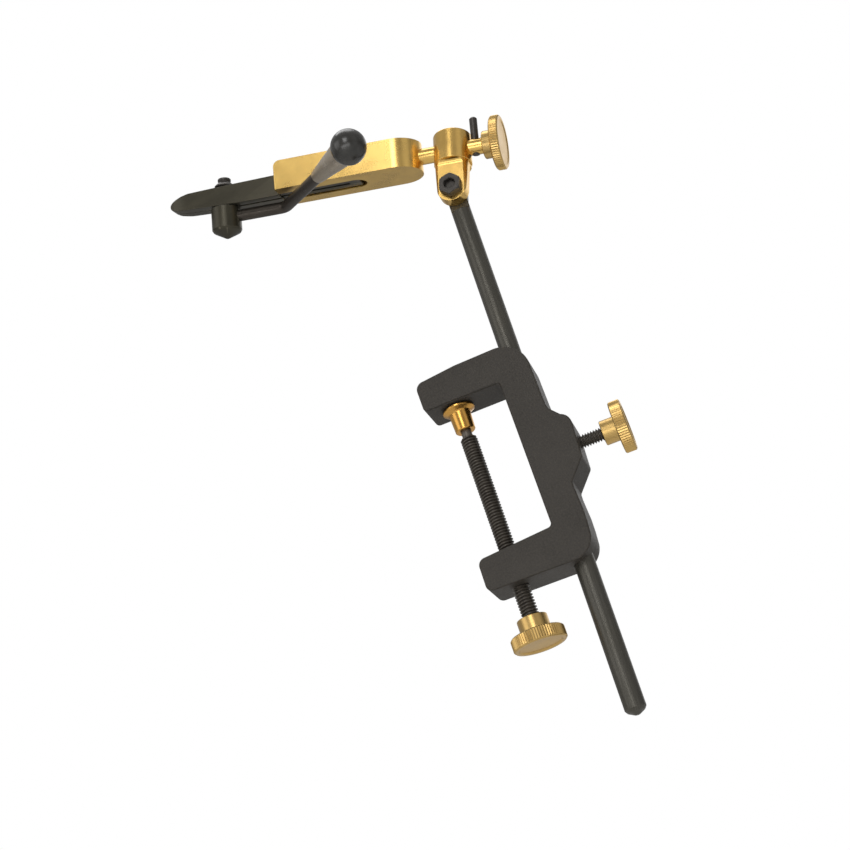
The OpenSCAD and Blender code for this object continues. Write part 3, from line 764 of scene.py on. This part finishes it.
def jaw_tail(s):
    """The tail, in the yoke's slot, runs a little into the bar."""
    sec = rounded([(0.2, -6.8, 0.1), (4.75, -6.8, 0.28), (4.75, 3.45, 0.28), (0.2, 3.45, 0.1)], True, 3)
    fit = [(0.2, -6.79, 0.1), (4.74, -6.79, 0.28), (4.74, 3.0, 0.28), (0.2, 3.0, 0.1)]
    bm = new_bm()
    rings = [[Vector((x, s * (p[0] if p[0] < 1 else p[0] - e), p[1] + (e if p[1] < -2 else -e))) for p in sec] for x, e in ((-48.7, 0.2), (-48.95, 0.0), (-70, 0.0), (SH + 0.05, 0.0))]
    rings.append([Vector((SH - 0.6, s * p[0], p[1])) for p in rounded(fit, True, 3)])
    skin(bm, rings, ([k * 0.5 for k in range(len(sec) + 1)], [-48.7, -48.95, -70, SH + 0.05, SH - 0.6]))
    return bm


for s, name, body, node in ((-1, "vise_jaw_front", "front_jaw", "jaw_front"), (1, "vise_jaw_rear", "rear_jaw", "jaw_rear")):
    pocket = [(-122.3 - 2.1, -2.5), (-122.3 + 2.1, -2.5)] + arc((-120.2, 0), 2.5, -90, 90, 20)[1:-1] + [(-120.2, 2.5), (-124.4, 2.5)] + arc((-124.4, 0), 2.5, 90, 270, 20)[1:-1]
    slit = [(-54.5, -0.9), (-54.5, 0.9)] + arc((-114.5, 0), 0.9, 90, 270, 16)
    cuts = [bm_of(prism, pocket, -12, 12), bm_of(prism, slit, -12, 12)] + [bm_of(rod, 1.7, -9, 9, T(x, 0, -1.7) @ ALONG_Y, 40) for x in (-56, -80)]
    bm = solid(jaw_bm(s), cuts, joins=[jaw_tail(s)])
    put(name, bm, body, [node], JAW, 30, True, H)

# ---------------------------------------------------------------- cam stud, cap and boss
bm = new_bm()
oval = arc((1.9, 0), 2.2, -90, 90, 24) + arc((-1.9, 0), 2.2, 90, 270, 24)
prism(bm, oval, -8.05, 3.2, CAM, 0.15, 2)
lathe(bm, [(0, 3.0), (2.2, 3.0), (2.2, 7.0), (2.0, 7.2), (0, 7.2)], CAM, 56)
lathe(bm, [(0, -16), (3, -16), (3, -8.0), (0, -8.0)], CAM, 56)
put("vise_cam_stud", bm, "cam_lever", ["cam_stud"], STEEL, 35)

prof = rounded([(2.22, 3.35), (5.0, 3.35, 0.15), (5.2, 3.6, 0.15), (5.2, 4.0, 0.15), (4.7, 4.5, 0.4), (3.3, 5.8, 0.6), (3.05, 6.3, 0.3), (3.4, 6.7, 0.15),
                (3.4, 7.7, 0.3), (2.9, 8.2, 0.3), (0, 8.2)], n=4)
prof = [(0, 7.4), (2.22, 7.4)] + prof
bm = bm_of(lathe, prof, CAM, 80)
put("vise_stud_cap", bm, "cam_lever", ["stud_cap"], STEEL, 35)

prof = rounded([(0, -24.1), (0.9, -24, 0.5), (7.0, -20.6, 0.6), (7.7, -19.6, 0.5), (7.7, -8.6, 0.2), (7.2, -8.1, 0.2), (0, -8.1)], n=4)
bm = solid(bm_of(lathe, prof, I4, 112), [bm_of(rod, 3.02, -16.2, -5, I4, 56), bm_of(rod, 3.02, 0, 12, T(0, 0, -12.9) @ ALONG_X, 48)], bevel=0.15, segs=2)
put("vise_cam_boss", bm, "cam_lever", ["cam_boss"], JAW, 30, True, CAM)

# ---------------------------------------------------------------- lever
rb, tl = 7.0, 7.0 * math.tan(math.radians(47.7 / 2))
path = [((-119, 0, -12.9), 0.94), ((-118.8, 0, -12.9), 1)] + [((-118 + k * (28.3 - tl - 0.2) / 6, 0, -12.9), 1) for k in range(7)]
for k in range(13):
    a = math.radians(90 - 47.7 * k / 12)
    path.append(((-89.7 - tl + rb * math.cos(a), -rb + rb * math.sin(a), -12.9), 1))
end = Matrix.Rotation(math.radians(-47.7), 4, "Z")
for k in range(1, 9):
    p = Vector((-89.7, 0, -12.9)) + (end @ Vector((1, 0, 0))) * (tl + (81 - tl) * k / 8)
    path.append((tuple(p), 1))
bm = bm_of(tube_path, path, 3.0, 48, Vector((0, 0, 1)), H)
put("vise_lever_rod", bm, "cam_lever", ["lever_rod"], LEVER, 40)

prof = rounded([(3.02, 44.1), (3.3, 44.1, 0.1), (3.5, 44.4, 0.25), (6.6, 77.1, 0.5), (6.35, 77.4, 0.1), (0, 77.4)], n=4)
bm = bm_of(lathe, [(0, 46.0), (3.02, 46.0)] + prof, LEV @ ALONG_X, 96)
put("vise_lever_grip", bm, "cam_lever", ["lever_grip"], GUN, 40)

flat_a = math.degrees(math.acos(-4.6 / 8.45))
prof = [(0, 77.4), (math.sqrt(8.45 ** 2 - 4.6 ** 2) - 0.25, 77.4)] + [(8.45 * math.sin(math.radians(a)), 82 + 8.45 * math.cos(math.radians(a)))
                                                     for a in [flat_a - 1 - (flat_a - 1) * k / 44 for k in range(44)]] + [(0, 90.45)]
bm = bm_of(lathe, prof, LEV @ ALONG_X, 112)
put("vise_lever_ball", bm, "cam_lever", ["lever_ball"], BALL, 40)

# ---------------------------------------------------------------- clamp pad, retainer, screw
prof = rounded([(0, -0.6), (7.3, -0.6, 0.2), (7.6, -0.9, 0.15), (7.6, -1.7, 0.25), (5.5, -2.9, 0.5), (5.1, -3.5, 0.5), (4.7, -12.0, 0.25), (4.3, -12.4, 0.2), (2.5, -12.4, 0.1),
                (2.5, -9.6), (2.5, -6.2), (3.6, -6.2), (3.6, -3.0), (2.5, -3.0), (2.0, -3.0), (0, -3.0)], n=4)
bm = bm_of(lathe, prof, LEAN, 96)
put("vise_clamp_pad", bm, "pad_group", ["clamp_pad"], SHADED_PAD_BRASS, 30)
bm = bm_of(lathe, rounded([(2.02, -5.4), (3.3, -5.4), (3.3, -4.4), (2.02, -4.4), (2.02, -5.4)], n=2), LEAN, 64)
bmesh.ops.remove_doubles(bm, verts=bm.verts[:], dist=1e-4)
put("vise_pad_retainer", bm, "pad_group", ["pad_retainer"], STEEL, 35)

bm = new_bm()
helix(bm, 3.95, 0.85, 1.41, -106.6, -15.8, LEAN, 60, cham=0.7)
lathe(bm, rounded([(0, -16.4), (2.45, -16.4), (2.45, -5.5, 0.1), (2.0, -5.5), (2.0, -4.3), (2.45, -4.3), (2.45, -3.7, 0.2), (2.1, -3.3, 0.1), (0, -3.3)], n=3), LEAN, 64)
lathe(bm, [(0, -114.2), (3.9, -114.2), (3.95, -114.1), (3.95, -106.0), (3.2, -105.4), (0, -105.4)], LEAN, 60)
put("vise_clamp_screw", bm, "clamp_screw_group", ["clamp_screw"], THREAD, 25)

# ---------------------------------------------------------------- lock shoe and screw
LX = T(0, 0, -37.6) @ ALONG_X
bm = bm_of(lathe, rounded([(0, 36.75), (3, 36.75, 0.15), (3, 38.75, 0.15), (0, 38.75)], n=3), LX, 48)
put("vise_lock_shoe", bm, "shoe_group", ["lock_shoe"], BRASS, 35)
bm = new_bm()
helix(bm, 3.1, 0.76, 1.27, 38.9, 59.2, LX, 56, cham=0.6)
lathe(bm, [(0, 58.2), (2.4, 58.2), (3.1, 58.8), (3.1, 66.8), (0, 66.8)], LX, 56)
put("vise_lock_screw", bm, "lock_screw_group", ["lock_screw"], THREAD, 25)

# ---------------------------------------------------------------- floor, light, camera
bm = bmesh.new()
s = 3.0
for p in ((-s, -s, -0.33), (s, -s, -0.33), (s, s, -0.33), (-s, s, -0.33)):
    bm.verts.new(p)
bm.faces.new(bm.verts[:])
me = bpy.data.meshes.new("floor")
bm.to_mesh(me)
bm.free()
floor = bpy.data.objects.new("floor", me)
scene.collection.objects.link(floor)
fm = Mat("floor_pale")
fm.set(color=fm.ramp(fm.noise(fm.coords(), 6, 3), [(0.3, (0.80, 0.80, 0.79, 1)), (0.7, (0.84, 0.84, 0.83, 1))]), rough=0.7, spec=0.2)
me.materials.append(fm.mat)

world = bpy.data.worlds.new("studio")
scene.world = world
world.use_nodes = True
nt = world.node_tree
nt.nodes.clear()
out = nt.nodes.new("ShaderNodeOutputWorld")
mixs = nt.nodes.new("ShaderNodeMixShader")
lp = nt.nodes.new("ShaderNodeLightPath")
seen = nt.nodes.new("ShaderNodeBackground")
seen.inputs[0].default_value, seen.inputs[1].default_value = (1, 1, 1, 1), 1.0
lit = nt.nodes.new("ShaderNodeBackground")
tc = nt.nodes.new("ShaderNodeTexCoord")
sep = nt.nodes.new("ShaderNodeSeparateXYZ")
nt.links.new(tc.outputs["Generated"], sep.inputs[0])
rmp = nt.nodes.new("ShaderNodeValToRGB")
mr = nt.nodes.new("ShaderNodeMapRange")
mr.inputs["From Min"].default_value, mr.inputs["From Max"].default_value = -1.0, 1.0
nt.links.new(sep.outputs["Z"], mr.inputs["Value"])
nt.links.new(mr.outputs[0], rmp.inputs[0])
cr = rmp.color_ramp
for _ in range(3):
    cr.elements.new(0.5)
for e, (p, v) in zip(cr.elements, [(0.0, 0.45), (0.42, 0.62), (0.5, 0.35), (0.62, 0.85), (1.0, 1.0)]):
    e.position, e.color = p, (v, v, v, 1)
nt.links.new(rmp.outputs[0], lit.inputs[0])
lit.inputs[1].default_value = 0.5
nt.links.new(lp.outputs["Is Camera Ray"], mixs.inputs[0])
nt.links.new(lit.outputs[0], mixs.inputs[1])
nt.links.new(seen.outputs[0], mixs.inputs[2])
nt.links.new(mixs.outputs[0], out.inputs[0])


def softbox(name, at, to, w, h, power, color=(1, 1, 1)):
    ld = bpy.data.lights.new(name, "AREA")
    ld.shape, ld.size, ld.size_y, ld.energy, ld.color = "RECTANGLE", w, h, power, color
    o = bpy.data.objects.new(name, ld)
    o.location = at
    o.rotation_mode = "QUATERNION"
    o.rotation_quaternion = (Vector(to) - Vector(at)).to_track_quat("-Z", "Y")
    scene.collection.objects.link(o)
    return o


AIM = (-0.02, 0, 0.02)
softbox("key", (0.02, -1.05, 0.40), AIM, 0.36, 0.5, 2.5)
softbox("side", (-1.05, -0.75, 0.45), AIM, 0.8, 0.9, 2.8)
softbox("fill", (1.0, -0.7, 0.1), AIM, 0.6, 1.0, 0.6)
softbox("top", (0.0, 0.1, 1.2), AIM, 0.9, 0.6, 4.4)
softbox("low", (-0.1, -0.92, -0.19), AIM, 0.9, 0.24, 1.9)
softbox("back", (0.3, 0.9, 0.4), AIM, 0.8, 0.8, 1.7)

cd = bpy.data.cameras.new("camera")
cam = bpy.data.objects.new("camera", cd)
scene.collection.objects.link(cam)
cd.sensor_fit, cd.sensor_width, cd.lens = "HORIZONTAL", 36.0, 59.93
right, up, look = Vector((0.91695, 0.28842, -0.27570)), Vector((0.36364, -0.31978, 0.87493)), Vector((-0.16419, 0.90253, 0.39811))
cam.matrix_world = Matrix(((right.x, up.x, -look.x, 0.09065), (right.y, up.y, -look.y, -0.59224), (right.z, up.z, -look.z, -0.26303), (0, 0, 0, 1)))
cd.clip_start, cd.clip_end = 0.02, 20
scene.camera = cam

scene.view_settings.view_transform = "Standard"
scene.view_settings.look = "None"
scene.view_settings.exposure = 0.0
scene.view_settings.gamma = 1.0
